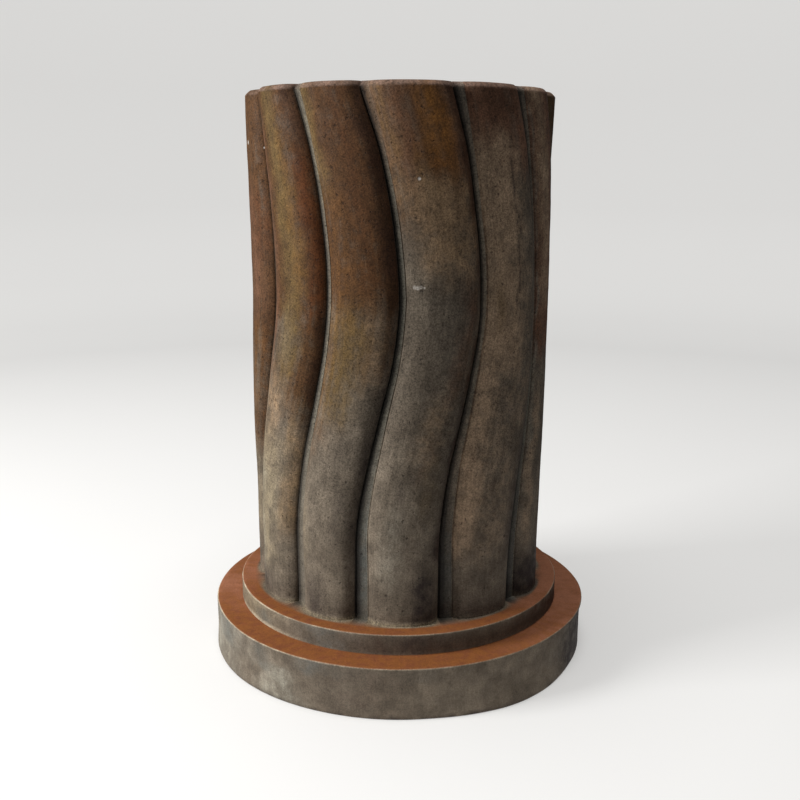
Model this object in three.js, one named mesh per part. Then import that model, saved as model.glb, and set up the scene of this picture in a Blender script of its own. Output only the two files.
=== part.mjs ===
// A cast stone plinth: a round drum of wavy upright reeds on a base of two plain steps,
// flat on top and underneath. Drum and base are one solid casting.
// Millimetres, +Z up. The origin is the middle of the underside, and the front faces -Y.
import * as THREE from "three";

// The base: a thick disc with a thinner step on it.
const discRadius = 250;
const discTop = 65;
const stepRadius = 216;
const stepTop = 91;
const arris = 2; // the worn edge round each disc

// The drum, measured over the crests of the reeds.
const drumRadius = 193;
const plinthHeight = 720;
const lip = 7; // rounding along the top edge

// The reeds and the shallow channels between them.
const reedCount = 12;
const channelDepthAtFoot = 16; // under the crests of the reeds
const channelDepthAbove = 12;
const channelLevelled = 0.7; // share of the drum's height where a channel has its upper depth
const channelWidthAtFoot = 17;
const channelWidthAbove = 6.5;
const channelNarrowed = 0.6; // share of the drum's height where a channel has its upper width
const channelFlare = 5; // a channel widens this much again just under the top
const flareStart = 0.88;
const floorRise = 2.3; // a channel's floor is lowest under the reed on its left
const leftArrisHeight = 4.5; // a reed's left edge is a small step up out of the channel
const leftArrisRun = 1.5;
const leftRoundness = 3;
const rightRoundness = 5; // the right side of a reed turns down later and more steeply
const rightSlope = 0.25; // share of the right side that falls as a plain curve

// The wave: from foot to belly each groove swings to the right, and above that it swings back.
const swingLength = 0.5; // share of the drum's height that the first swing takes
const returnPower = 2;

// Where a groove stands, in degrees from the front towards +X, at the drum's foot, at the belly
// and at the top. It is fully swung out at one share of the drum's height, and turns back from
// another. These seven shape the front and its outline; the grooves at the back share the rest
// of the circle evenly.
const frontGrooves = [
  { foot: -108, belly: -82, top: -96, swung: 0.66, turns: 0.62 },
  { foot: -77, belly: -54, top: -66, swung: 0.66, turns: 0.62 },
  { foot: -43.7, belly: -26.4, top: -39.5, swung: 0.64, turns: 0.65 },
  { foot: -14.8, belly: 1.2, top: -12.5, swung: 0.64, turns: 0.6 },
  { foot: 18.4, belly: 33, top: 20.3, swung: 0.66, turns: 0.54 },
  { foot: 52, belly: 64.7, top: 48.5, swung: 0.54, turns: 0.52 },
  { foot: 81, belly: 92, top: 70, swung: 0.58, turns: 0.54 },
];

// How finely the surface is divided.
const drumRows = 22;
const lipRows = 3;
const crownStations = [0.08, 0.22, 0.4, 0.58, 0.74, 0.86, 0.94];
const columnsPerReed = crownStations.length + 3; // two channel corners and the left arris

const fullTurn = 360;
const stoneColour = 0x6b5c4e;
const stoneRoughness = 0.85;

function radians(degrees) {
  return (degrees * Math.PI) / 180;
}

// The angle that an arc of the given length covers on the channels' upper floor, in degrees.
function arcDegrees(length) {
  return (length / (drumRadius - channelDepthAbove)) * (180 / Math.PI);
}

// The groove that stands at a share of the way from one groove to another.
function grooveBetween(one, other, share) {
  const between = {};
  Object.keys(one).forEach((key) => {
    between[key] = THREE.MathUtils.lerp(one[key], other[key], share);
  });
  return between;
}

// All grooves in order round the drum, closed by the first one again, a full turn on.
function allGrooves() {
  const first = frontGrooves[0];
  const last = frontGrooves[frontGrooves.length - 1];
  const firstAgain = {
    ...first,
    foot: first.foot + fullTurn,
    belly: first.belly + fullTurn,
    top: first.top + fullTurn,
  };
  const gaps = reedCount - frontGrooves.length + 1;
  const grooves = [...frontGrooves];
  for (let i = 1; i < gaps; i += 1) {
    grooves.push(grooveBetween(last, firstAgain, i / gaps));
  }
  grooves.push(firstAgain);
  return grooves;
}

const grooves = allGrooves();

// The angle of a groove's middle at a share of the drum's height.
function grooveAngle(groove, share) {
  const { foot, belly, top, swung, turns } = groove;
  const swing = THREE.MathUtils.smoothstep(share, swung - swingLength, swung);
  const back = Math.max(0, (share - turns) / (1 - turns)) ** returnPower;
  return foot + (belly - foot) * swing + (top - belly) * back;
}

// The width of a channel's floor at a share of the drum's height.
function channelWidth(share) {
  const narrowed = THREE.MathUtils.smoothstep(share, 0, channelNarrowed);
  const flared = THREE.MathUtils.smoothstep(share, flareStart, 1);
  return (
    THREE.MathUtils.lerp(channelWidthAtFoot, channelWidthAbove, narrowed) + channelFlare * flared
  );
}

// How deep a channel lies under the crests at a share of the drum's height.
function channelDepth(share) {
  const levelled = THREE.MathUtils.smoothstep(share, 0, channelLevelled);
  return THREE.MathUtils.lerp(channelDepthAtFoot, channelDepthAbove, levelled);
}

// How high a reed stands over the channel floor, from its left edge (0) to its right edge (1).
function reedRise(station, depth) {
  const fromMiddle = Math.abs(2 * station - 1);
  if (station < 0.5) {
    const crown = 1 - fromMiddle ** leftRoundness;
    return leftArrisHeight + (depth - leftArrisHeight) * crown;
  }
  const turned = fromMiddle ** rightRoundness;
  const fall = THREE.MathUtils.lerp(turned, fromMiddle ** 2, rightSlope);
  return depth * (1 - fall);
}

// The angle and radius of one column of the drum at a share of its height.
function drumPoint(column, share) {
  const reed = Math.floor(column / columnsPerReed);
  const place = column % columnsPerReed;
  const depth = channelDepth(share);
  const floor = drumRadius - depth;
  const halfChannel = arcDegrees(channelWidth(share)) / 2;
  const left = grooveAngle(grooves[reed], share) + halfChannel;
  const right = grooveAngle(grooves[reed + 1], share) - halfChannel;
  if (place === 0) {
    return { angle: left - 2 * halfChannel, radius: floor };
  }
  if (place === 1) {
    return { angle: left, radius: floor + floorRise };
  }
  const brow = left + arcDegrees(leftArrisRun);
  if (place === 2) {
    return { angle: brow, radius: floor + reedRise(0, depth) };
  }
  const station = crownStations[place - 3];
  return {
    angle: THREE.MathUtils.lerp(brow, right, station),
    radius: floor + reedRise(station, depth),
  };
}

// The rows of the plinth from the underside's centre to the top's centre. A base row is a plain
// circle; a drum row follows the reeds at its share of the drum's height, less an inset.
function plinthRows() {
  const rows = [
    { height: 0, radius: 0 },
    { height: 0, radius: discRadius - arris },
    { height: arris, radius: discRadius },
    { height: discTop - arris, radius: discRadius },
    { height: discTop, radius: discRadius - arris },
    { height: discTop, radius: stepRadius },
    { height: stepTop - arris, radius: stepRadius },
    { height: stepTop, radius: stepRadius - arris },
  ];
  const straightTop = plinthHeight - lip;
  for (let i = 0; i <= drumRows; i += 1) {
    const share = i / drumRows;
    rows.push({
      height: THREE.MathUtils.lerp(stepTop, straightTop, share),
      share,
      inset: 0,
    });
  }
  for (let i = 1; i <= lipRows; i += 1) {
    const turn = radians((90 * i) / lipRows);
    rows.push({
      height: straightTop + lip * Math.sin(turn),
      share: 1,
      inset: lip * (1 - Math.cos(turn)),
    });
  }
  rows.push({ height: plinthHeight, radius: 0 });
  return rows;
}

// A lathe turned to the plinth's profile, whose points are then moved out to the reeds.
function plinthGeometry() {
  const rows = plinthRows();
  const profile = rows.map((row) => {
    const radius = row.radius ?? drumRadius - row.inset;
    return new THREE.Vector2(radius, row.height);
  });
  const columnCount = reedCount * columnsPerReed;
  const geometry = new THREE.LatheGeometry(profile, columnCount);
  const position = geometry.getAttribute("position");
  for (let i = 0; i <= columnCount; i += 1) {
    const column = i % columnCount; // the last column closes on the first
    const footAngle = drumPoint(column, 0).angle;
    rows.forEach((row, j) => {
      let angle = footAngle;
      let radius = row.radius;
      if (row.share !== undefined) {
        const point = drumPoint(column, row.share);
        angle = point.angle;
        radius = point.radius - row.inset;
      }
      position.setXYZ(
        i * rows.length + j,
        radius * Math.sin(radians(angle)),
        -radius * Math.cos(radians(angle)),
        row.height,
      );
    });
  }
  geometry.computeVertexNormals();
  return geometry;
}

const stone = new THREE.MeshStandardMaterial({
  color: stoneColour,
  roughness: stoneRoughness,
  metalness: 0,
  flatShading: true,
});

const plinth = new THREE.Mesh(plinthGeometry(), stone);
plinth.name = "plinth";

const part = new THREE.Group();
part.add(plinth);

export default part;
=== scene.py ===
import math
from functools import lru_cache

import bmesh
import bpy
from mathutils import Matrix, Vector, noise


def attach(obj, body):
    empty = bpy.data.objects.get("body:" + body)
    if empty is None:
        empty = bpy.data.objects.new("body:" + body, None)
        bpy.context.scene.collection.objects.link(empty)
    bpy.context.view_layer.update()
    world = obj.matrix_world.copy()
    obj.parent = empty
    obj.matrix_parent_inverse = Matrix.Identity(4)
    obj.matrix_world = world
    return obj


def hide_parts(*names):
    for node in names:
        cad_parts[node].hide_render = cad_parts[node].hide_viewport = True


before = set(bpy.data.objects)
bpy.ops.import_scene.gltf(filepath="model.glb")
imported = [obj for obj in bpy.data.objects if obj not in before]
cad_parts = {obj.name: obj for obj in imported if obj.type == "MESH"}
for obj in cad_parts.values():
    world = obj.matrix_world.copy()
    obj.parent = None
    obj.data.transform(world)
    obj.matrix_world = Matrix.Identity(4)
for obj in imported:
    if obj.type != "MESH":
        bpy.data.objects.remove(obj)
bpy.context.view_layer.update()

# The plinth's own sizes, in metres. Angles are in degrees from the front towards +X.
casting = {
    "height": 0.72,
    "discRadius": 0.25,
    "discTop": 0.065,
    "stepRadius": 0.216,
    "stepTop": 0.091,
    "arris": 0.002,           # worn edge round each disc
    "drumRadius": 0.193,      # over the crests of the reeds
    "lip": 0.007,             # worn edge round the top
    "reedCount": 12,
    "depthAtFoot": 0.016,     # of a channel under the crests
    "depthAbove": 0.012,
    "depthLevels": 0.7,       # share of the height where it has its upper depth
    "channelAtFoot": 0.017,   # width of a channel's floor
    "channelAbove": 0.0065,
    "channelNarrowed": 0.6,   # share of the height where it has its upper width
    "channelFlare": 0.005,    # it widens this much again under the top
    "flareStart": 0.88,
    "floorRise": 0.0023,      # a channel's floor is lowest on its left
    "leftArris": 0.0045,      # step up from the channel to a reed's left edge
    "leftArrisRun": 0.002,
    "crevice": 0.003,         # cut along a channel's left corner
    "creviceAt": 0.03,        # share of the channel's width where it is deepest
    "creviceReach": 0.13,
    "incisedLine": 0.0019,    # cut behind the arris, which fades towards the top
    "leftRoundness": 3.0,
    "rightRoundness": 5.0,
    "rightSlope": 0.25,       # share of a reed's right side that falls as a plain curve
    "swingLength": 0.5,
    "returnPower": 2,
    # close rings carry the mortar round the drum's foot: one on the step, this far out, and
    # the others up the drum
    "footRun": 0.0015,
    "footRings": [0.0012, 0.0026, 0.0042, 0.0062],
    "footBand": 0.009,
    # the worn edge round the top is a narrow slope with crisp edges: height and inset
    "lipRings": [(0.0018, 0.0), (0.0026, 0.0004), (0.0042, 0.0019), (0.0058, 0.0036), (0.0067, 0.0049)],
}

# Where each groove of the front stands at the foot, at the belly and at the top. It is fully
# out at one share of the height ("swung") and turns back from another ("turns").
frontGrooves = [
    {"foot": -108, "belly": -82, "top": -96, "swung": 0.66, "turns": 0.62},
    {"foot": -77, "belly": -54, "top": -66, "swung": 0.66, "turns": 0.62},
    {"foot": -43.7, "belly": -26.4, "top": -39.5, "swung": 0.64, "turns": 0.65},
    {"foot": -14.8, "belly": 1.2, "top": -12.5, "swung": 0.64, "turns": 0.6},
    {"foot": 18.4, "belly": 33, "top": 20.3, "swung": 0.66, "turns": 0.54},
    {"foot": 52, "belly": 64.7, "top": 48.5, "swung": 0.54, "turns": 0.52},
    {"foot": 81, "belly": 92, "top": 70, "swung": 0.58, "turns": 0.54},
]

# How finely the surface is cut. A reed's columns run from its channel's left corner to its own
# right edge. A column's station is its place across the reed, from 0 to 1. It is below 0 in the
# channel, which starts at channelStart, and on the arris beside it.
cuts = {
    "perReed": 36,
    "channelStations": [0, 0.06, 0.16, 0.36, 0.6, 0.84, 1],
    "channelStart": -1.3,
    "arrisStations": [-0.2, -0.1],
    "channelEnd": -0.25,      # every station of a channel is below this one
    "crowding": 0.62,         # columns lie closer together at both edges of a reed
    "drumBands": 13,
    "drumRows": 12,           # rows in each band
    "underside": 2,
    "discWall": 13,
    "discTread": 6,
    "stepWall": 4,
    "stepTread": 4,
    "topFace": 3,
    "middle": 0.02,           # radius of the fans in the middle of underside and top
    "slack": 1e-5,            # two points closer than this are in one place
    "smoothBelow": 40,        # degrees between faces
}

# Unevenness of the cast surface, in metres.
relief = {
    "radius": 0.19,           # the drum's patterns are worked out on a round of this radius
    "wander": 0.25,           # degrees that a groove strays from its line
    "hollow": 0.0006,         # slow dents and swellings
    "hollowSize": 0.07,
    "baseHollowSize": 0.06,
    "ripple": 0.00018,        # short unevenness
    "rippleSize": 0.012,
    "streak": 0.00022,        # ribs left along the reeds
    "streakSize": 0.006,
    "highest": 0.0004,        # the crown must not pass the solid's box, so it is worn in by this
    "wallWorn": 0.0003,       # the base's sides are worn in by this
    "treadWorn": 0.0002,
    "chip": 0.0011,           # how deep the reeds' edges are worn
    "chipSize": 0.02,
    "nick": 0.0016,           # how deep the edge round the top is worn
    "nickSize": 0.014,
    "bead": 0.0022,           # mortar at the drum's foot
    "beadHeights": [0.001, 0.006],
    "beadBegins": [-62, -40],  # degrees between which it swells, and again shrinks
    "beadEnds": [10, 24],
    "crumbSize": 0.004,
    "spreadRight": 0.0065,    # the ground edge spreads on the front right: by how much, where
    "spreadRightAt": [36, 30],  # and how far to each side
    "spreadLeft": 0.002,
    "spreadLeftAt": [-60, 50],
    "spreadHeight": 0.028,
    "proudEdge": 0.003,       # the disc's upper edge stands out on the far right
    "proudEdgeAt": [84, 34],
}


def lerp(a, b, share):
    return a + (b - a) * share


def ease(low, high, value):
    share = min(1, max(0, (value - low) / (high - low)))
    return share * share * (3 - 2 * share)


def near(middle, reach, value):
    # 1 at the middle, falling softly to 0 at the end of its reach
    return 1 - ease(0, reach, abs(value - middle))


def within(low, high, value, begins, ends):
    # 1 between two limits, falling softly to 0 outside them
    return ease(low - begins, low + begins, value) * (1 - ease(high - ends, high + ends, value))


def turnedFrom(start, angle):
    # how far one angle is turned from another, from -180 to 180 degrees
    return (angle - start + 180) % 360 - 180


def drift(x, y, z, size):
    # smooth unevenness between -1 and 1, whose swells have about the given size
    return noise.noise(Vector((x, y, z)) / size)


def allGrooves():
    # the grooves at the back share the rest of the circle
    first, last = frontGrooves[0], frontGrooves[-1]
    again = {key: value + 360 * (key in ("foot", "belly", "top")) for key, value in first.items()}
    gaps = casting["reedCount"] - len(frontGrooves) + 1
    between = [{key: lerp(last[key], again[key], i / gaps) for key in last} for i in range(1, gaps)]
    return frontGrooves + between + [again]


grooves = allGrooves()


@lru_cache(maxsize=None)
def grooveAngle(index, share):
    groove = grooves[index]
    swing = ease(groove["swung"] - casting["swingLength"], groove["swung"], share)
    back = max(0, (share - groove["turns"]) / (1 - groove["turns"])) ** casting["returnPower"]
    stray = relief["wander"] * drift(index % casting["reedCount"] * 3.7, 0, share, 0.09)
    out = (groove["belly"] - groove["foot"]) * swing
    return groove["foot"] + out + (groove["top"] - groove["belly"]) * back + stray


@lru_cache(maxsize=None)
def channelWidth(share):
    narrowed = ease(0, casting["channelNarrowed"], share)
    flared = ease(casting["flareStart"], 1, share)
    width = lerp(casting["channelAtFoot"], casting["channelAbove"], narrowed)
    return width + casting["channelFlare"] * flared


def arcDegrees(length):
    return math.degrees(length / (casting["drumRadius"] - casting["depthAbove"]))


def channelDepth(share):
    return lerp(casting["depthAtFoot"], casting["depthAbove"], ease(0, casting["depthLevels"], share))


def reedRise(station, depth):
    # height over the channel's floor, from a reed's left edge (0) to its right edge (1)
    fromMiddle = abs(2 * station - 1)
    if station < 0.5:
        crown = 1 - fromMiddle ** casting["leftRoundness"]
        return lerp(casting["leftArris"], depth, crown)
    fall = lerp(fromMiddle ** casting["rightRoundness"], fromMiddle ** 2, casting["rightSlope"])
    return depth * (1 - fall)


def reedSides(reed, share):
    # the angles of a reed's channel's left corner, of its own left edge and of its right edge
    half = arcDegrees(channelWidth(share)) / 2
    left = grooveAngle(reed, share) + half
    return left - 2 * half, left, grooveAngle(reed + 1, share) - half


def sectionPoint(reed, place, share):
    # one column of the drum: its angle, its rise over the channel's floor and its station
    corner, left, right = reedSides(reed, share)
    stations = cuts["channelStations"]
    floorCount = len(stations)
    depth = channelDepth(share)
    if place < floorCount:
        across = stations[place]
        cut = casting["crevice"] * near(casting["creviceAt"], casting["creviceReach"], across)
        rise = casting["floorRise"] * across ** 0.8 - cut
        return lerp(corner, left, across), rise, across + cuts["channelStart"]
    edge = place - floorCount
    if edge < 2:
        # a thin arris ends the channel, with an incised line behind it
        run = casting["leftArrisRun"] * (0.18, 0.52)[edge]
        line = 0.5 + 0.5 * drift(reed * 5.1, 1, share, 0.13)
        line *= 1 - ease(0.7, 0.88, share)
        rise = casting["floorRise"] + (0.0005, 0.0006 - casting["incisedLine"] * line)[edge]
        return left + arcDegrees(run), rise, cuts["arrisStations"][edge]
    brow = left + arcDegrees(casting["leftArrisRun"])
    across = (edge - 2) / (cuts["perReed"] - floorCount - 2)
    station = across - cuts["crowding"] * math.sin(2 * math.pi * across) / (2 * math.pi)
    return lerp(brow, right, station), reedRise(station, depth), station


def roundedEdge(radius, height, after):
    # rings round the outer corner of a disc, then the cuts in what follows
    arris = casting["arris"]
    turns = [math.radians(angle) for angle in (0, 30, 60, 90)]
    rings = [(radius - arris * (1 - math.cos(t)), height - arris * (1 - math.sin(t)), 0) for t in turns]
    return rings[:-1] + [(*rings[-1][:2], after)]


def plinthProfile():
    # radius and height of each ring from the middle of the underside to the middle of the top,
    # and the number of cuts on the way to the next ring
    disc, step, drum = casting["discRadius"], casting["stepRadius"], casting["drumRadius"]
    arris, top, middle = casting["arris"], casting["height"], cuts["middle"]
    discTop, stepTop, straightTop = casting["discTop"], casting["stepTop"], top - casting["lip"]
    rings = [(middle, 0, cuts["underside"]), (disc - arris, 0, 0)]
    rings += [(disc - 0.3 * arris, 0.3 * arris, 0), (disc, arris, cuts["discWall"])]
    rings += roundedEdge(disc, discTop, cuts["discTread"])
    rings += [(step, discTop, 0), (step, discTop + 0.0012, cuts["stepWall"])]
    rings += roundedEdge(step, stepTop, cuts["stepTread"])
    rings += [(drum + casting["footRun"], stepTop, 0), (drum, stepTop, 0)]
    rings += [(drum, stepTop + lift, 0) for lift in casting["footRings"]]
    rings += [(drum, stepTop + casting["footBand"], cuts["drumBands"] - 1), (drum, straightTop, 0)]
    rings += [(drum - inset, straightTop + lift, 0) for lift, inset in casting["lipRings"]]
    rings += [(drum - casting["lip"], top, 1), (drum - 0.02, top, cuts["topFace"])]
    rings += [(0.06, top, 1), (middle, top, 0)]
    return rings


def selectBetween(mesh, one, other):
    # the edges that run from one ring towards the other, found by their place
    lowRadius, highRadius = sorted((one[0], other[0]))
    lowHeight, highHeight = sorted((one[1], other[1]))
    slack = cuts["slack"]
    for edge in mesh.edges:
        ends = [(math.hypot(vert.co.x, vert.co.y), vert.co.z) for vert in edge.verts]
        inside = all(lowRadius - slack < r < highRadius + slack for r, h in ends)
        inside = inside and all(lowHeight - slack < h < highHeight + slack for r, h in ends)
        along = abs(ends[0][0] - ends[1][0]) > slack or abs(ends[0][1] - ends[1][1]) > slack
        edge.select_set(inside and along)


def cutBetween(body, one, other, count):
    mesh = bmesh.from_edit_mesh(body.data)
    bpy.ops.mesh.select_all(action="DESELECT")
    selectBetween(mesh, one, other)
    bmesh.update_edit_mesh(body.data)
    bpy.ops.mesh.subdivide(number_cuts=count)


def capRing(body, radius, height):
    # closes a small ring with a fan
    bpy.ops.mesh.select_all(action="DESELECT")
    mesh = bmesh.from_edit_mesh(body.data)
    for edge in mesh.edges:
        off = [abs(math.hypot(v.co.x, v.co.y) - radius) + abs(v.co.z - height) for v in edge.verts]
        edge.select_set(max(off) < cuts["slack"])
    bmesh.update_edit_mesh(body.data)
    bpy.ops.mesh.edge_face_add()
    bpy.ops.mesh.poke()


def extrudeRings(name, sides, rings):
    # a circle on the ground, extruded through each radius and height, and left in edit mode
    bpy.ops.object.select_all(action="DESELECT")
    bpy.ops.mesh.primitive_circle_add(vertices=sides, radius=rings[0][0])
    body = bpy.context.object
    body.name = name
    bpy.ops.object.mode_set(mode="EDIT")
    bpy.ops.mesh.select_mode(type="EDGE")
    bpy.ops.mesh.select_all(action="SELECT")
    for (radius, height), (nextRadius, nextHeight) in zip(rings, rings[1:]):
        bpy.ops.mesh.extrude_region_move(TRANSFORM_OT_translate={"value": (0, 0, nextHeight - height)})
        bpy.ops.transform.resize(value=(nextRadius / radius, nextRadius / radius, 1))
    return body


def turnPlainShape():
    # a plain turned plinth, cut finer
    rings = plinthProfile()
    columns = casting["reedCount"] * cuts["perReed"]
    body = extrudeRings("castPlinth", columns, [ring[:2] for ring in rings])
    for one, other in zip(rings, rings[1:]):
        if one[2]:
            cutBetween(body, one, other, one[2])
    foot = (casting["drumRadius"], casting["stepTop"] + casting["footBand"])
    crown = (casting["drumRadius"], casting["height"] - casting["lip"])
    cutBetween(body, foot, crown, cuts["drumRows"] - 1)
    capRing(body, *rings[0][:2])
    capRing(body, *rings[-1][:2])
    bpy.ops.mesh.select_all(action="SELECT")
    bpy.ops.mesh.normals_make_consistent(inside=False)
    bpy.ops.object.mode_set(mode="OBJECT")
    print("plain shape turned:", len(body.data.vertices), "vertices")
    return body


# Stains on the reeds of the front, from the left, with painted shade in the dark colours along the
# right edges of the middle reeds and at the drum's foot, and painted highlight in the pale on the
# arris: the colour, its place across the reed and how far it reaches to each side, the shares of the
# height between which it lies, and its strength.
reedStainsAndShade = [
    [
        ("coat", 0.5, 4, 0.52, 1.3, 1),
        ("coat", 0.5, 4, 0.28, 0.6, 0.6),
        ("rosy", 0.5, 0.8, 0.56, 0.84, 0.5),
        ("rust", 0.82, 0.35, 0.68, 0.84, 0.4),
        ("golden", 0.6, 1, 0.32, 0.56, 0.35),
        ("brown", 0.95, 0.35, 0.28, 0.62, 0.6),
        ("beige", 0.5, 2, 0.08, 0.3, 0.5),
    ],
    [
        ("coat", 0.5, 4, 0.58, 1.3, 1),
        ("coat", 0.5, 4, 0.42, 1.3, 0.45),
        ("coat", 0.9, 0.8, 0.4, 0.62, 0.9),
        ("rosy", 0.02, 0.28, 0.46, 0.95, 0.6),
        ("olive", 0.48, 0.4, 0.46, 1.3, 0.75),
        ("golden", 0.6, 0.3, 0.62, 0.96, 0.36),
        ("beige", 0.4, 0.3, 0.48, 0.62, 0.3),
        ("rust", 0.9, 0.3, 0.58, 0.92, 0.8),
        ("umber", 0.95, 0.26, 0.9, 1.3, 0.6),
        ("umber", 0.98, 0.18, 0.38, 0.6, 0.6),
        ("tan", 0.35, 0.6, 0.26, 0.5, 0.5),
        ("beige", 0.35, 0.8, 0.05, 0.36, 0.7),
        ("chalk", 0.2, 0.4, 0.03, 0.3, 0.35),
        ("tan", 0.9, 0.35, 0.14, 0.4, 0.5),
        ("olive", 0.9, 0.35, 0.14, 0.46, 0.3),
        # soot and painted shade in the corner at the drum's foot
        ("sootAndShade", 0.4, 0.6, -0.02, 0.07, 0.5),
    ],
    [
        ("coat", 0.5, 4, 0.6, 1.3, 1),
        ("coat", 0.5, 4, 0.46, 1.3, 0.5),
        ("coat", 0.15, 0.6, 0.34, 0.62, 0.5),
        ("olive", 0.02, 0.3, 0.8, 1.3, 0.7),
        ("beige", -0.02, 0.16, 0.82, 1.3, 0.3),
        ("golden", 0.2, 0.6, 0.54, 0.84, 0.3),
        ("umber", 0.5, 0.6, 0.7, 1.3, 0.25),
        ("rust", 0.62, 0.4, 0.62, 1.3, 0.35),
        # painted shade on the right edge by the channel, with stain
        ("umber", 0.98, 0.4, 0.62, 1.3, 0.8),
        ("umber", 0.38, 0.12, 0.9, 0.97, 0.6),
        ("olive", 0.3, 0.6, 0.4, 0.62, 0.75),
        ("golden", 0.1, 0.4, 0.42, 0.6, 0.22),
        ("tan", 0.72, 0.3, 0.46, 0.62, 0.5),
        ("rosy", 0.04, 0.16, 0.42, 0.58, 0.4),
        ("golden", 0.04, 0.16, 0.26, 0.42, 0.22),
        ("beige", 0.1, 0.3, 0.06, 0.24, 0.3),
        # painted shade on the lower right edge by the channel
        ("sootAndShade", 0.98, 0.16, 0.08, 0.5, 0.55),
        ("sootAndShade", 0.6, 0.3, 0.3, 0.37, 0.35),
        ("sootAndShade", 0.75, 0.25, 0.16, 0.28, 0.4),
        # soot and painted shade in the corner at the drum's foot
        ("sootAndShade", 0.35, 0.4, -0.1, 0.09, 0.5),
        ("sootAndShade", 0.5, 1.5, -0.1, 0.03, 0.4),
        # painted highlight on the arris beside the channel
        ("paleWearAndHighlight", -0.2, 0.09, 0.03, 0.34, 0.9),
    ],
    [
        ("rosy", 0.5, 4, 0.82, 1.3, 0.6),
        ("coat", 0.5, 4, 0.74, 1.3, 0.6),
        ("olive", 0.04, 0.3, 0.8, 1.3, 0.45),
        ("golden", 0.62, 0.42, 0.83, 1.04, 0.7),
        ("amber", 0.7, 0.3, 0.86, 1.0, 0.55),
        ("brown", 0.88, 0.3, 0.42, 0.78, 0.4),
        ("rust", 0.6, 0.34, 0.82, 0.9, 0.4),
        ("brown", 0.35, 0.4, 0.84, 1.04, 0.5),
        # painted shade on the right edge by the channel, with stain
        ("umber", 0.98, 0.2, 0.78, 1.3, 0.95),
        ("olive", 0.42, 0.24, 0.8, 0.9, 0.4),
        ("tan", 0.55, 0.75, 0.66, 0.85, 0.8),
        ("rosy", 0.74, 0.24, 0.42, 0.7, 0.4),
        ("rosy", 0.62, 0.18, 0.28, 0.36, 0.3),
        ("olive", 0.72, 0.24, 0.2, 0.34, 0.35),
        ("tan", 0.6, 0.4, 0.3, 0.46, 0.4),
        ("chalk", 0.3, 0.35, 0.06, 0.24, 0.3),
        # painted shade on the right edge by the channel
        ("umber", 1, 0.13, 0.1, 0.78, 0.6),
        ("sootAndShade", 0.5, 0.16, 0.7, 0.78, 0.25),
        ("sootAndShade", 0.4, 0.22, 0.5, 0.58, 0.2),
        ("sootAndShade", 0.4, 0.18, 0.22, 0.29, 0.5),
        # soot and painted shade in the corner at the drum's foot
        ("sootAndShade", 0.76, 0.36, -0.1, 0.1, 0.85),
        # painted shade on the lower right edge by the channel
        ("sootAndShade", 0.96, 0.16, 0.1, 0.45, 0.5),
        # painted highlight on the arris beside the channel
        ("paleWearAndHighlight", -0.2, 0.09, 0.0, 0.36, 0.45),
    ],
    [
        ("rosy", 0.5, 4, 0.86, 1.3, 0.9),
        ("umber", 0.5, 1.5, 0.94, 1.3, 0.5),
        ("fawn", 0.12, 0.9, 0.48, 0.92, 0.95),
        ("fawn", 0.45, 1.2, 0.1, 0.5, 0.35),
        ("olive", 0.16, 0.25, 0.57, 0.67, 0.4),
        ("brown", 0.98, 0.26, 0.3, 0.98, 0.6),
        ("fawn", 0.06, 0.42, 0.14, 0.52, 0.9),
        ("sootAndShade", 0.5, 0.05, 0.55, 0.96, 0.6),
        ("sootAndShade", 0.32, 0.12, 0.74, 0.8, 0.25),
        ("sootAndShade", 0.6, 0.16, 0.36, 0.48, 0.4),
        ("sootAndShade", 0.88, 0.28, 0.1, 0.42, 0.55),
        ("sootAndShade", 0.45, 0.08, 0.2, 0.36, 0.5),
        ("sootAndShade", 0.3, 0.3, 0.05, 0.11, 0.4),
        # soot and painted shade in the corner at the drum's foot
        ("sootAndShade", 0.5, 1.5, -0.1, 0.05, 0.45),
        # painted shade on the right edge by the channel
        ("umber", 1, 0.12, 0.05, 1.3, 0.8),
        # painted highlight on the arris beside the channel
        ("paleWearAndHighlight", -0.2, 0.09, 0.0, 0.3, 0.3),
    ],
    [
        ("rosy", 0.5, 4, 0.5, 1.3, 0.8),
        ("fawn", 0.25, 0.45, 0.6, 1.3, 0.7),
        ("chalk", 0.0, 0.08, 0.3, 1.3, 0.4),
        ("olive", 0.3, 0.15, 0.86, 0.96, 0.4),
        ("umber", 0.85, 0.5, 0.4, 1.3, 0.5),
        ("fawn", 0.12, 0.25, 0.1, 0.45, 0.4),
        # soot and painted shade in the corner at the drum's foot
        ("sootAndShade", 0.5, 2, -0.1, 0.1, 0.75),
        # painted highlight on the arris beside the channel
        ("paleWearAndHighlight", -0.2, 0.09, 0.0, 0.3, 0.4),
    ],
]

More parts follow.
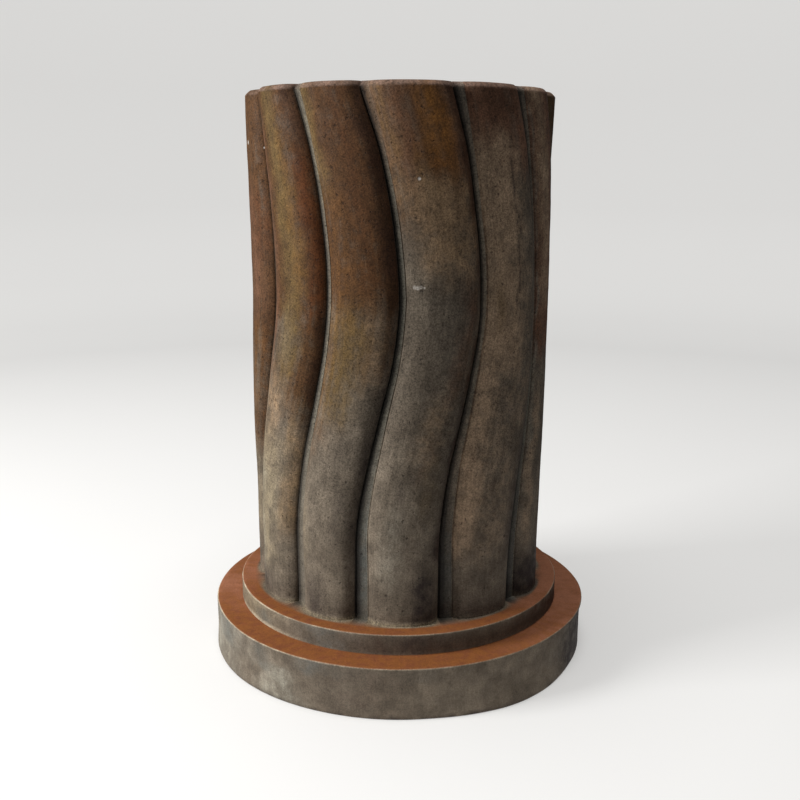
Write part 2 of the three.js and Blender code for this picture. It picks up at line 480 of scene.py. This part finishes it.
# Stains on the base, with painted shade on the disc's right side and along its bottom edge,
# and on the step's front and right: the part, the colour, its angle and how far it reaches to
# each side, the heights between which it lies, in metres, and its strength.
baseStainsAndShade = [
    ("discWall", "chalk", -74, 44, -0.01, 0.08, 0.55),
    ("discWall", "chalk", -35, 14, -0.01, 0.045, 0.55),
    ("discWall", "slate", -63, 15, 0.03, 0.08, 0.4),
    ("discWall", "slate", -44, 9, 0.03, 0.08, 0.35),
    ("discWall", "slate", -24, 16, 0.045, 0.08, 0.4),
    ("discWall", "slate", 6, 12, 0.045, 0.08, 0.2),
    ("discWall", "umber", -6, 30, -0.01, 0.06, 0.25),
    ("discWall", "sootAndShade", -14, 26, -0.01, 0.08, 0.3),
    # painted shade on the disc's right side, round towards the back
    ("discWall", "sootAndShade", 76, 40, -0.01, 0.08, 1),
    ("discWall", "sootAndShade", 112, 50, -0.01, 0.08, 0.8),
    # painted contact shade along the disc's bottom edge
    ("discWall", "sootAndShade", 0, 200, -0.02, 0.003, 0.7),
    ("stepWall", "beige", -60, 34, 0.06, 0.1, 0.6),
    ("stepWall", "slate", -24, 20, 0.06, 0.1, 0.4),
    ("stepWall", "rosy", 0, 40, 0.06, 0.1, 0.3),
    # painted shade on the step's front
    ("stepWall", "sootAndShade", 4, 34, 0.06, 0.1, 0.5),
    ("stepWall", "slate", -52, 16, 0.06, 0.084, 0.4),
    # painted shade on the step's right side
    ("stepWall", "umber", 66, 48, 0.06, 0.1, 0.75),
    ("discTread", "clay", -90, 40, 0.06, 0.07, 0.7),
    ("discTread", "clay", 78, 64, 0.06, 0.07, 0.95),
    ("stepTread", "clay", -90, 40, 0.08, 0.1, 0.6),
    ("stepTread", "clay", 78, 60, 0.08, 0.1, 0.85),
]


# Each reed at the back takes the stains and painted shade of one of the front, fainter.
backTwins = {6: 2, 7: 0, 8: 4, 9: 1, 10: 3, 11: 5}

# How softly the stains and painted shade begin and end, and how far their edges stray: by how
# much, and the size of the swells.
stainAndShadeEdges = {
    "begins": 0.06,           # shares of the drum's height
    "ends": 0.05,
    "onBase": 0.006,          # metres
    "across": [0.1, 0.04],    # across a reed
    "acrossFine": [0.04, 0.011],
    "along": [0.022, 0.045],  # along a reed
    "round": [5, 0.04],       # round the base, in degrees
    "up": [0.006, 0.05],      # up the base, in metres
    "backStrength": 0.8,
}

stainAndShadeColours = (
    "coat", "rosy", "brown", "clay", "fawn", "tan", "olive", "beige", "chalk", "golden", "amber",
    "rust", "umber", "slate", "sootAndShade",
)
paintNames = stainAndShadeColours + ("paleWearAndHighlight", "tread", "calm", "channel", "creaseShade", "lip", "bead")

# Paint that isn't a stain, from 0 to 1. The grain is weaker where there is more "calm".
finish = {
    "calmFoot": 0.3,          # the drum's foot
    "calmTop": 0.25,          # the flat top
    "calmTread": 0.65,
    "calmWall": 0.5,          # the base's sides
    "topCoat": [0.5, 0.3],    # brown on the flat top, and how much it varies
    "topCoatSize": 0.06,
    "channel": [0.3, 0.9],    # a channel's own colour at the foot and above
    "channelStained": 0.7,    # so much less of it under the top, left of the reeds stained there
    "stainedReeds": [1, 3],
    "slateFoot": 0.2,         # bluish film at a channel's foot
    "slateFootRight": 0.55,
    "slateReeds": [3, 4, 5],
    # soot with painted shade at a channel's foot, more in the channels of the reeds on the right
    "sootAndShadeFoot": 0.25,
    "sootAndShadeFootRight": 0.45,
    "sootAndShadeReeds": [4, 5],
    # painted shade in the incised line behind a channel's arris
    "shadeBehindArris": 0.6,
    "footContactShade": [0.25, 0.4],  # painted contact shade round the drum's foot, and so much more on the right
    "bead": 0.9,
    "arris": [0.6, 0.6],      # the pale worn edges of the base, and how much they vary
    "arrisSize": 0.016,
    "arrisHighlightAt": [-72, 80],     # palest here, on the lit left as a painted highlight, and how far to each side
    "innerEdge": 0.75,        # a pale line where the step meets the disc
    "innerEdgeAt": [-55, 28],
}


def stainAndShadeAt(colour, reed, station, share):
    found = 0
    for name, at, reach, low, high, strength in reedStainsAndShade[backTwins.get(reed, reed)]:
        if name == colour:
            along = within(low, high, share, stainAndShadeEdges["begins"], stainAndShadeEdges["ends"])
            found = max(found, strength * near(at, reach, station) * along)
    return found * (stainAndShadeEdges["backStrength"] if reed in backTwins else 1)


def baseStainAndShadeAt(colour, part, angle, height):
    found, soft = 0, stainAndShadeEdges["onBase"]
    for place, name, at, reach, low, high, strength in baseStainsAndShade:
        if name == colour and place == part:
            along = within(low, high, height, soft, soft)
            found = max(found, strength * near(0, reach, turnedFrom(at, angle)) * along)
    return found


def strayAt(name, x, y, z):
    by, size = stainAndShadeEdges[name]
    return by * drift(x, y, z, size)


def paintChannel(reed, station, share):
    # a channel has painted shade along its left corner, soot with painted shade at its foot, and is
    # bluish near the foot on the front's right
    high = ease(0.12, 0.5, share)
    atFoot, above = finish["channel"]
    stained = finish["channelStained"] * ease(0.84, 0.94, share) if reed in finish["stainedReeds"] else 0
    slate = finish["slateFootRight"] if reed in finish["slateReeds"] else finish["slateFoot"]
    # soot with painted shade at the channel's foot
    sootAndShade = finish["sootAndShadeFootRight"] if reed in finish["sootAndShadeReeds"] else finish["sootAndShadeFoot"]
    return {
        "channel": lerp(atFoot, above - stained, high),
        "slate": lerp(slate, 0, high),
        "sootAndShade": lerp(sootAndShade, 0, high),
        # painted shade along the channel's left corner
        "creaseShade": 1 - ease(0.25, 0.8, station - cuts["channelStart"]),
    }


def paintDrum(reed, station, share, spot):
    # the stains, painted shade and painted highlights at a place of the drum, and what marks its channel
    paint = {"calm": finish["calmFoot"] * (1 - ease(0.1, 0.4, share))}
    if share > 0:
        strayed = station + strayAt("across", *spot) + strayAt("acrossFine", *spot)
        along = share + strayAt("along", spot[0] + 5, spot[1], spot[2])
        for colour in stainAndShadeColours:
            paint[colour] = stainAndShadeAt(colour, reed, max(strayed, -0.05), along)
        # pale wear, and a painted highlight on the arris beside each channel
        paint["paleWearAndHighlight"] = stainAndShadeAt("paleWearAndHighlight", reed, station, along)
    if station < cuts["channelEnd"]:
        paint.update(paintChannel(reed, station, share))
    # painted shade in the incised line behind the arris
    if station == cuts["arrisStations"][1]:
        paint["creaseShade"] = finish["shadeBehindArris"] * (1 - ease(0.7, 0.85, share))
    return paint


def shapeDrumPoint(point, reed, place):
    # where a point of the plain drum goes, and what it is painted with
    inset = casting["drumRadius"] - math.hypot(point.x, point.y)
    height, stepTop = point.z, casting["stepTop"]
    straightTop = casting["height"] - casting["lip"]
    share = min(1, max(0, (height - stepTop) / (straightTop - stepTop)))
    angle, rise, station = sectionPoint(reed, place, share)
    x, y = math.sin(math.radians(angle)), -math.cos(math.radians(angle))
    spot = (x * relief["radius"], y * relief["radius"], height)
    inChannel = station < cuts["channelEnd"]
    onFlatTop = inset > casting["lip"] - 0.0004

    rib = drift(reed * 9.3 + station * 0.09, 0, height * 0.12, relief["streakSize"])
    lift = relief["hollow"] * drift(*spot, relief["hollowSize"])
    lift += relief["ripple"] * drift(*spot, relief["rippleSize"])
    lift += relief["streak"] * rib
    lift = min(lift, relief["highest"]) - relief["highest"]
    out = casting["drumRadius"] - channelDepth(share) + rise - inset + lift
    if not inChannel and station < 0.12:
        # the reeds' left edges are chipped
        worn = max(0, drift(reed * 4.4, station, height, relief["chipSize"]) - 0.15)
        out -= relief["chip"] * worn * near(0, 0.15, station)
    nearFoot = 1 - ease(*relief["beadHeights"], height - stepTop)
    swelling = ease(*relief["beadBegins"], angle) * (1 - ease(*relief["beadEnds"], angle))
    bead = nearFoot * (0.25 + 0.75 * swelling) * (0.2 if inChannel else 1)
    out += relief["bead"] * bead * (0.45 + 0.55 * drift(*spot, relief["crumbSize"]))

    paint = paintDrum(reed, station, share, spot)
    if share == 0 and inset < 0:
        # the step's tread round the drum's foot gets painted contact shade, more on the right
        left, more = finish["footContactShade"]
        paint["tread"] = 1
        paint["calm"] = finish["calmTread"]
        paint["sootAndShade"] = left + more * ease(-20, 60, angle)
    elif nearFoot > 0:
        paint["bead"] = bead * finish["bead"]
    if onFlatTop:
        coat, varies = finish["topCoat"]
        coat += varies * drift(x * out, y * out, 0, finish["topCoatSize"])
        paint = {"coat": coat, "calm": finish["calmTop"]}
    elif height > straightTop + 0.001:
        paint["lip"] = 1
        height -= relief["nick"] * max(0, drift(spot[0], spot[1], 3, relief["nickSize"]) - 0.25)
    return (out * x, out * y, height), paint


def shapeBasePoint(point, reed, place):
    # the same for a point of the two steps
    radius, height = math.hypot(point.x, point.y), point.z
    angle = sectionPoint(reed, place, 0)[0]
    fromFront = turnedFrom(0, angle)
    x, y = math.sin(math.radians(angle)), -math.cos(math.radians(angle))
    spot = (x * radius, y * radius, height)
    lift = relief["hollow"] * drift(*spot, relief["baseHollowSize"])
    lift += relief["ripple"] * drift(*spot, relief["rippleSize"])
    onDisc = height < casting["discTop"] + cuts["slack"]
    part = "disc" if onDisc else "step"
    top, outer = casting[part + "Top"], casting[part + "Radius"]
    onTread = abs(height - top) < 0.0008
    paint = {"tread": 1, "calm": finish["calmTread"]} if onTread else {"calm": finish["calmWall"]}
    strayed = angle + strayAt("round", *spot)
    raised = height + strayAt("up", x, y, height)
    for colour in stainAndShadeColours:
        paint[colour] = baseStainAndShadeAt(colour, part + ("Tread" if onTread else "Wall"), strayed, raised)
    # the worn edge round each disc is pale, and paler on the left as a painted highlight
    if radius > outer - 0.0012 and top - 0.0012 < height < top - 0.0001:
        mean, varies = finish["arris"]
        worn = mean + varies * drift(*spot, finish["arrisSize"])
        paint["paleWearAndHighlight"] = worn * lerp(0.4, 1, near(*finish["arrisHighlightAt"], fromFront))
    if not onDisc and height < casting["discTop"] + 0.002:
        paint["paleWearAndHighlight"] = finish["innerEdge"] * near(*finish["innerEdgeAt"], fromFront)
    if height > cuts["slack"]:
        # the underside stays flat
        if onTread:
            height += 0.5 * lift - relief["treadWorn"]
            radius += 0.3 * lift
        else:
            radius += min(0, lift - relief["wallWorn"])
    if onDisc and radius > casting["discRadius"] - 0.01:
        edge = 1 - ease(0.003, 0.008, casting["discTop"] - height)
        radius += relief["proudEdge"] * near(*relief["proudEdgeAt"], angle) * edge
        spread = relief["spreadRight"] * near(*relief["spreadRightAt"], angle)
        spread += relief["spreadLeft"] * near(*relief["spreadLeftAt"], angle)
        radius += spread * (1 - ease(0, relief["spreadHeight"], height))
    return (radius * x, radius * y, height), paint


def shapeCasting(body):
    # moves each point of the turned shape out to the reeds and roughens it as it goes, and
    # notes for the material what kind of place it is
    painted = {name: [0.0] * len(body.data.vertices) for name in paintNames}
    columns, slack = casting["reedCount"] * cuts["perReed"], cuts["slack"]
    flow = []
    for vert in body.data.vertices:
        radius = math.hypot(vert.co.x, vert.co.y)
        turned = math.degrees(math.atan2(vert.co.x, -vert.co.y)) - frontGrooves[0]["foot"]
        column = round(turned / 360 * columns) % columns
        flow.append((column, vert.co.z))
        if radius < slack:
            continue
        onDrum = radius < casting["drumRadius"] + casting["footRun"] + slack
        onDrum = onDrum and vert.co.z > casting["stepTop"] - slack
        shape = shapeDrumPoint if onDrum else shapeBasePoint
        vert.co, paint = shape(vert.co, *divmod(column, cuts["perReed"]))
        for name, value in paint.items():
            painted[name][vert.index] = value
    for name, values in painted.items():
        layer = body.data.attributes.new(name, "FLOAT", "POINT")
        layer.data.foreach_set("value", values)
    layer = body.data.uv_layers.new(name="reedFlow")
    girth = 2 * math.pi * casting["drumRadius"]
    for polygon in body.data.polygons:
        places = [flow[v] for v in polygon.vertices]
        seam = max(c for c, h in places) - min(c for c, h in places) > columns / 2
        onTop = min(h for c, h in places) > casting["height"] - slack
        for corner, vertex, (column, height) in zip(polygon.loop_indices, polygon.vertices, places):
            if seam and column < columns / 2:
                column += columns
            if onTop:
                # strokes of the float run straight across the flat top
                point = body.data.vertices[vertex].co
                layer.data[corner].uv = (point.x / girth, point.y)
            else:
                layer.data[corner].uv = (column / columns, height)
    print("reeds shaped, highest point", max(vert.co.z for vert in body.data.vertices))


def linear(red, green, blue):
    # a colour as the eye reads it, 0 to 255, for a shader's socket
    parts = [v / 255 for v in (red, green, blue)]
    return tuple(v / 12.92 if v < 0.04045 else ((v + 0.055) / 1.055) ** 2.4 for v in parts) + (1,)


stone = {
    "grey": (124, 112, 97),
    "greyDark": (104, 93, 80),
    "beige": (146, 132, 108),
    "chalk": (152, 147, 133),
    "tan": (158, 130, 100),
    "fawn": (174, 147, 120),
    "olive": (110, 88, 54),
    "coat": (92, 64, 40),
    "brown": (90, 62, 41),
    "golden": (124, 84, 42),
    "amber": (160, 108, 56),
    "rosy": (120, 86, 66),
    "rust": (92, 54, 29),
    "umber": (72, 49, 35),
    "slate": (88, 94, 93),
    # soot, and painted shade where it darkens corners, channels, the drum's foot and the base's shaded
    # right side
    "sootAndShade": (57, 49, 46),
    "clay": (156, 103, 76),
    # pale worn stone, and painted highlights on the arrises
    "paleWearAndHighlight": (205, 190, 165),
    "speck": (208, 200, 190),
    # painted shade inside the pinholes
    "pinholeShade": (34, 28, 24),
    "terracotta": (134, 82, 43),
    "terracottaDark": (124, 73, 44),
    "channel": (124, 122, 110),
    # painted shade in a channel's left corner and in the line behind its arris
    "creaseShade": (34, 31, 29),
    "lip": (126, 104, 92),
    "grain": 0.3,             # how much light and dark grains differ
    "sheen": 0.15,            # how much light the bare surface mirrors
    "roughness": 0.7,
    "relief": 0.001,          # height of the fine relief
}
streakyColours = ("coat", "olive", "golden", "rust", "brown", "rosy")  # these run along the reeds

# Scales of the patterns. The streaks' are across and along the reeds.
patterns = {
    "streaks": (150, 7, 1),
    "fineStreaks": (520, 30, 1),
    "mottle": 22,
    "smudges": 45,
    "blots": 80,
    "pores": 160,
    "poreEdges": 420,
    "porePush": 0.006,        # how far the pores' edges are pushed about, in metres
    "flecks": 240,
    "grain": 520,
}

# Chips and pinholes that show singly: kind, reed, place across it, share of the height, radius.
spots = [
    ("chip", 3, 0.30, 0.845, 0.0026),
    ("scuff", 3, 0.09, 0.6545, 0.0032),
    ("scuff", 3, 0.125, 0.6535, 0.0034),
    ("scuff", 3, 0.16, 0.655, 0.0028),
    ("scuff", 3, 0.2, 0.654, 0.002),
    ("chip", 0, 0.62, 0.913, 0.0035),
    ("chip", 0, 0.99, 0.902, 0.0018),
    ("pit", 3, 0.26, 0.063, 0.0026),
    ("pit", 4, 0.47, 0.196, 0.0024),
    ("pit", 4, 0.71, 0.155, 0.0032),
    ("pit", 4, 0.36, 0.126, 0.002),
    ("pit", 3, 0.48, 0.032, 0.002),
    ("pit", 3, 0.52, 0.180, 0.002),
    ("pit", 2, 0.77, 0.285, 0.0022),
    ("pit", 4, 0.22, 0.568, 0.002),
]


def stoneColour(name):
    return linear(*stone[name])


def reedPlace(reed, station, share):
    # a point of a front reed's surface
    _, left, right = reedSides(reed, share)
    depth = channelDepth(share)
    angle = math.radians(lerp(left + arcDegrees(casting["leftArrisRun"]), right, station))
    out = casting["drumRadius"] - depth + reedRise(station, depth)
    straightTop = casting["height"] - casting["lip"]
    return (out * math.sin(angle), -out * math.cos(angle), lerp(casting["stepTop"], straightTop, share))


class Wiring:
    # short ways to add and join nodes in one material
    def __init__(self, name):
        self.material = bpy.data.materials.new(name)
        self.material.use_nodes = True
        self.tree = self.material.node_tree
        self.tree.nodes.clear()

    def put(self, kind, inputs=None, **settings):
        node = self.tree.nodes.new(kind)
        for name, value in settings.items():
            setattr(node, name, value)
        for name, value in (inputs or {}).items():
            if isinstance(value, bpy.types.NodeSocket):
                self.tree.links.new(value, node.inputs[name])
            else:
                node.inputs[name].default_value = value
        return node

    def noise(self, coords, scale, detail=3, rough=0.55):
        inputs = {"Vector": coords, "Scale": scale, "Detail": detail, "Roughness": rough}
        return self.put("ShaderNodeTexNoise", inputs).outputs["Fac"]

    def maths(self, operation, a, b, clamp=False):
        return self.put("ShaderNodeMath", {0: a, 1: b}, operation=operation, use_clamp=clamp).outputs[0]

    def times(self, a, b):
        return self.maths("MULTIPLY", a, b)

    def spread(self, value, low, high, toLow=0, toHigh=1):
        # carries a range of values over to another, softly at both ends
        inputs = {"Value": value, "From Min": low, "From Max": high, "To Min": toLow, "To Max": toHigh}
        return self.put("ShaderNodeMapRange", inputs, interpolation_type="SMOOTHSTEP").outputs[0]

    def blend(self, one, other, share):
        # a plain average of two values, with the given share of the second
        node = self.put("ShaderNodeMix", {0: share, 2: one, 3: other}, data_type="FLOAT")
        return node.outputs[0]

    def mix(self, share, a, b, way="MIX"):
        # the second colour over the first
        node = self.put("ShaderNodeMix", data_type="RGBA", blend_type=way)
        for index, value in ((0, share), (6, a), (7, b)):
            if isinstance(value, bpy.types.NodeSocket):
                self.tree.links.new(value, node.inputs[index])
            else:
                node.inputs[index].default_value = value
        return node.outputs[2]

    def painted(self, name):
        return self.put("ShaderNodeAttribute", attribute_name=name).outputs["Fac"]

    def spotMask(self, coords, kind):
        # 1 inside each single chip or pinhole of that kind
        mask = 0
        for _, reed, station, share, radius in (spot for spot in spots if spot[0] == kind):
            centre = reedPlace(reed, station, share)
            reach = self.put("ShaderNodeVectorMath", {0: coords, 1: centre}, operation="DISTANCE")
            found = self.spread(reach.outputs["Value"], radius * 0.3, radius, 1, 0)
            mask = self.maths("MAXIMUM", mask, found)
        return mask


def weatheredStone():
    w = Wiring("weatheredCastStone")
    place = w.put("ShaderNodeTexCoord").outputs["Object"]
    flow = w.put("ShaderNodeUVMap", uv_map="reedFlow").outputs["UV"]
    longFlow = w.put("ShaderNodeMapping", {"Vector": flow, "Scale": patterns["streaks"]}).outputs[0]
    fineFlow = w.put("ShaderNodeMapping", {"Vector": flow, "Scale": patterns["fineStreaks"]}).outputs[0]
    streaks = w.noise(longFlow, 1, 4)
    fineStreaks = w.noise(fineFlow, 1, 3, 0.6)
    mottle = w.noise(place, patterns["mottle"], 5, 0.62)
    blots = w.noise(place, patterns["blots"], 4, 0.6)
    grain = w.noise(place, patterns["grain"], 3, 0.75)
    tread, calm = w.painted("tread"), w.painted("calm")

    # bare stone, terracotta on the treads, then the stains and painted shade one over the other
    colour = w.mix(w.spread(mottle, 0.35, 0.65), stoneColour("greyDark"), stoneColour("grey"))
    clay = w.mix(w.spread(blots, 0.38, 0.66), stoneColour("terracotta"), stoneColour("terracottaDark"))
    colour = w.mix(tread, colour, clay)
    streaky = w.spread(w.blend(streaks, blots, 0.4), 0.34, 0.66)
    blotchy = w.spread(w.blend(mottle, blots, 0.5), 0.36, 0.64)
    for name in stainAndShadeColours:
        broken = streaky if name in streakyColours else blotchy
        mask = w.times(w.painted(name), w.maths("ADD", w.times(broken, 0.7), 0.65))
        colour = w.mix(w.spread(mask, 0.04, 0.96), colour, stoneColour(name))

    # channels, painted shade in the creases, worn edges with painted highlights, and mortar
    colour = w.mix(w.times(w.painted("channel"), 0.7), colour, stoneColour("channel"))
    colour = w.mix(w.times(w.painted("creaseShade"), 0.85), colour, stoneColour("creaseShade"))
    lip = w.times(w.painted("lip"), w.spread(blots, 0.35, 0.65, 0.2, 0.75))
    colour = w.mix(lip, colour, stoneColour("lip"))
    mortar = w.times(w.painted("bead"), w.spread(grain, 0.35, 0.6, 0.3, 0.9))
    colour = w.mix(mortar, colour, stoneColour("beige"))
    # pale wear on the edges, with painted highlights on the arrises
    worn = w.maths("MULTIPLY", w.painted("paleWearAndHighlight"), w.spread(grain, 0.3, 0.6, 0.55, 1.1), True)
    colour = w.mix(worn, colour, stoneColour("paleWearAndHighlight"))

    # light and dark grains, streaks along the reeds, flecks and smudges
    grainLight = w.spread(grain, 0.37, 0.63, 1 - stone["grain"], 1 + stone["grain"])
    light = w.times(grainLight, w.spread(fineStreaks, 0.3, 0.7, 0.86, 1.14))
    flecks = w.spread(w.noise(place, patterns["flecks"], 5, 0.8), 0.52, 0.66, 1.03, 0.55)
    light = w.blend(w.times(light, flecks), 1.0, calm)
    smudges = w.spread(w.noise(place, patterns["smudges"], 5, 0.65), 0.34, 0.66, 0.86, 1.12)
    smudges = w.times(smudges, w.spread(blots, 0.3, 0.7, 0.92, 1.08))
    light = w.times(light, w.blend(smudges, 1.0, w.times(tread, 0.7)))
    colour = w.mix(1, colour, light, "MULTIPLY")

    # the pinholes are uneven, so their pattern is pushed about by a noise
    inputs = {"Vector": place, "Scale": patterns["poreEdges"], "Detail": 2}
    push = w.put("ShaderNodeTexNoise", inputs).outputs["Color"]
    push = w.put("ShaderNodeVectorMath", {0: push, 1: (0.5, 0.5, 0.5)}, operation="SUBTRACT").outputs[0]
    inputs = {0: push, "Scale": patterns["porePush"]}
    push = w.put("ShaderNodeVectorMath", inputs, operation="SCALE").outputs[0]
    uneven = w.put("ShaderNodeVectorMath", {0: place, 1: push}, operation="ADD").outputs[0]
    pores = w.put("ShaderNodeTexVoronoi", {"Vector": uneven, "Scale": patterns["pores"]})
    deep = w.put("ShaderNodeSeparateColor", {"Color": pores.outputs["Color"]}).outputs[0]
    crowd = w.spread(blots, 0.32, 0.56, 0.25, 1)
    pits = w.spread(pores.outputs["Distance"], 0.1, 0.3, 1, 0)
    pits = w.times(pits, w.spread(deep, 0.35, 0.8))
    pits = w.times(pits, w.times(crowd, w.spread(calm, 0.2, 0.65, 1, 0.2)))
    pits = w.maths("MAXIMUM", pits, w.spotMask(place, "pit"))
    # the pinholes are painted dark, as painted shade inside them
    colour = w.mix(w.times(pits, 0.6), colour, stoneColour("pinholeShade"))
    scuffs = w.times(w.spotMask(place, "scuff"), w.spread(grain, 0.36, 0.6, 0.15, 0.75))
    chips = w.maths("MAXIMUM", w.spotMask(place, "chip"), scuffs)
    colour = w.mix(chips, colour, stoneColour("speck"))

    # fine relief
    height = w.times(grain, 0.3)
    height = w.maths("ADD", height, w.times(blots, 0.3))
    height = w.maths("ADD", height, w.times(fineStreaks, 0.14))
    height = w.maths("SUBTRACT", height, w.times(pits, 0.6))
    height = w.maths("SUBTRACT", height, w.times(chips, 0.4))
    bump = w.put("ShaderNodeBump", {"Height": height, "Strength": 0.9, "Distance": stone["relief"]})
    shader = w.put("ShaderNodeBsdfPrincipled", {
        "Base Color": colour,
        "Roughness": w.spread(blots, 0.3, 0.7, stone["roughness"] - 0.1, stone["roughness"] + 0.1),
        "Specular IOR Level": stone["sheen"],
        "Normal": bump.outputs[0],
    })
    output = w.put("ShaderNodeOutputMaterial")
    w.tree.links.new(shader.outputs[0], output.inputs["Surface"])
    print("weathered stone mixed:", len(w.tree.nodes), "nodes")
    return w.material


studio = {
    "floor": (196, 195, 193),
    "floorGlow": 0.36,        # lifts the floor and its rim to an even pale tone
    "floorSides": 96,
    "nearFloor": 0.46,        # only the floor this near throws light back up on the plinth
    # radius and height of the wide floor's rings
    "wideFloor": [(0.46, 0), (2.5, 0), (2.85, 0.05), (3.1, 0.2), (3.25, 0.5), (3.3, 1.0), (3.3, 2.6)],
    "worldColour": (235, 238, 242),
    "worldStrength": 0.12,
    "keyAngle": -71,          # degrees from the front towards +X
    "keyDistance": 2.5,
    "keyHeight": 1.35,
    "keyAim": (0, 0, 0.4),
    "keySize": 1.0,
    "keyPower": 74,
    "topPlace": (-0.2, -0.3, 4.6),
    "topAim": (0, 0, 0),
    "topSize": 3.0,
    "topPower": 132,
}


def addSoftLight(name, place, aim, size, power):
    data = bpy.data.lights.new(name, "AREA")
    data.size = size
    data.energy = power
    lamp = bpy.data.objects.new(name, data)
    bpy.context.scene.collection.objects.link(lamp)
    lamp.location = place
    lamp.rotation_euler = (Vector(aim) - Vector(place)).to_track_quat("-Z", "Y").to_euler()
    lamp.visible_camera = False


def addStudio():
    # a round pale floor, and round it a wide one whose rim turns up far behind the plinth
    w = Wiring("palePaperFloor")
    place = w.put("ShaderNodeTexCoord").outputs["Object"]
    shader = w.put("ShaderNodeBsdfPrincipled", {
        "Base Color": linear(*studio["floor"]),
        "Roughness": w.spread(w.noise(place, 3, 2), 0.3, 0.7, 0.82, 0.9),
        "Emission Color": linear(*studio["floor"]),
        "Emission Strength": studio["floorGlow"] / linear(*studio["floor"])[0],
    })
    output = w.put("ShaderNodeOutputMaterial")
    w.tree.links.new(shader.outputs[0], output.inputs["Surface"])

    sides, inner = studio["floorSides"], studio["nearFloor"]
    bpy.ops.object.select_all(action="DESELECT")
    bpy.ops.mesh.primitive_circle_add(vertices=sides, radius=inner, fill_type="NGON")
    nearFloor = bpy.context.object
    nearFloor.name = "nearFloor"
    nearFloor.data.materials.append(w.material)

    wideFloor = extrudeRings("wideFloor", sides, studio["wideFloor"])
    bpy.ops.object.mode_set(mode="OBJECT")
    bpy.ops.object.shade_smooth()
    wideFloor.data.materials.append(w.material)
    wideFloor.visible_diffuse = False
    wideFloor.visible_glossy = False

    turn = math.radians(studio["keyAngle"])
    far = studio["keyDistance"]
    left = (far * math.sin(turn), -far * math.cos(turn), studio["keyHeight"])
    addSoftLight("keyLight", left, studio["keyAim"], studio["keySize"], studio["keyPower"])
    addSoftLight("topLight", studio["topPlace"], studio["topAim"], studio["topSize"], studio["topPower"])
    world = bpy.data.worlds.new("paleRoom")
    world.use_nodes = True
    background = world.node_tree.nodes["Background"]
    background.inputs["Color"].default_value = linear(*studio["worldColour"])
    background.inputs["Strength"].default_value = studio["worldStrength"]
    bpy.context.scene.world = world
    bpy.context.scene.view_settings.view_transform = "Standard"
    print("studio lit")


# The photograph's viewpoint, in front of the plinth and looking down a little.
viewpoint = {
    "place": (0, -1.2735, 0.6144),
    "tilt": 77.194,           # degrees up from straight down
    "roll": 0.19,
    "lens": 43.74,
    "sensorWidth": 36,
    "shift": (0.001, 0.002),
    "nearest": 0.01,
}


def addCamera():
    data = bpy.data.cameras.new("camera")
    camera = bpy.data.objects.new("camera", data)
    bpy.context.scene.collection.objects.link(camera)
    camera.location = viewpoint["place"]
    camera.rotation_euler = (math.radians(viewpoint["tilt"]), 0, 0)
    camera.rotation_euler.rotate_axis("Z", math.radians(viewpoint["roll"]))
    data.sensor_width = viewpoint["sensorWidth"]
    data.lens = viewpoint["lens"]
    data.shift_x, data.shift_y = viewpoint["shift"]
    data.clip_start = viewpoint["nearest"]
    bpy.context.scene.camera = camera
    print("camera placed")


addCamera()
addStudio()
plinth = turnPlainShape()
shapeCasting(plinth)
plinth.data.materials.append(weatheredStone())
bpy.ops.object.select_all(action="DESELECT")
plinth.select_set(True)
bpy.context.view_layer.objects.active = plinth
bpy.ops.object.shade_smooth_by_angle(angle=math.radians(cuts["smoothBelow"]))
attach(plinth, "root")
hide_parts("plinth")
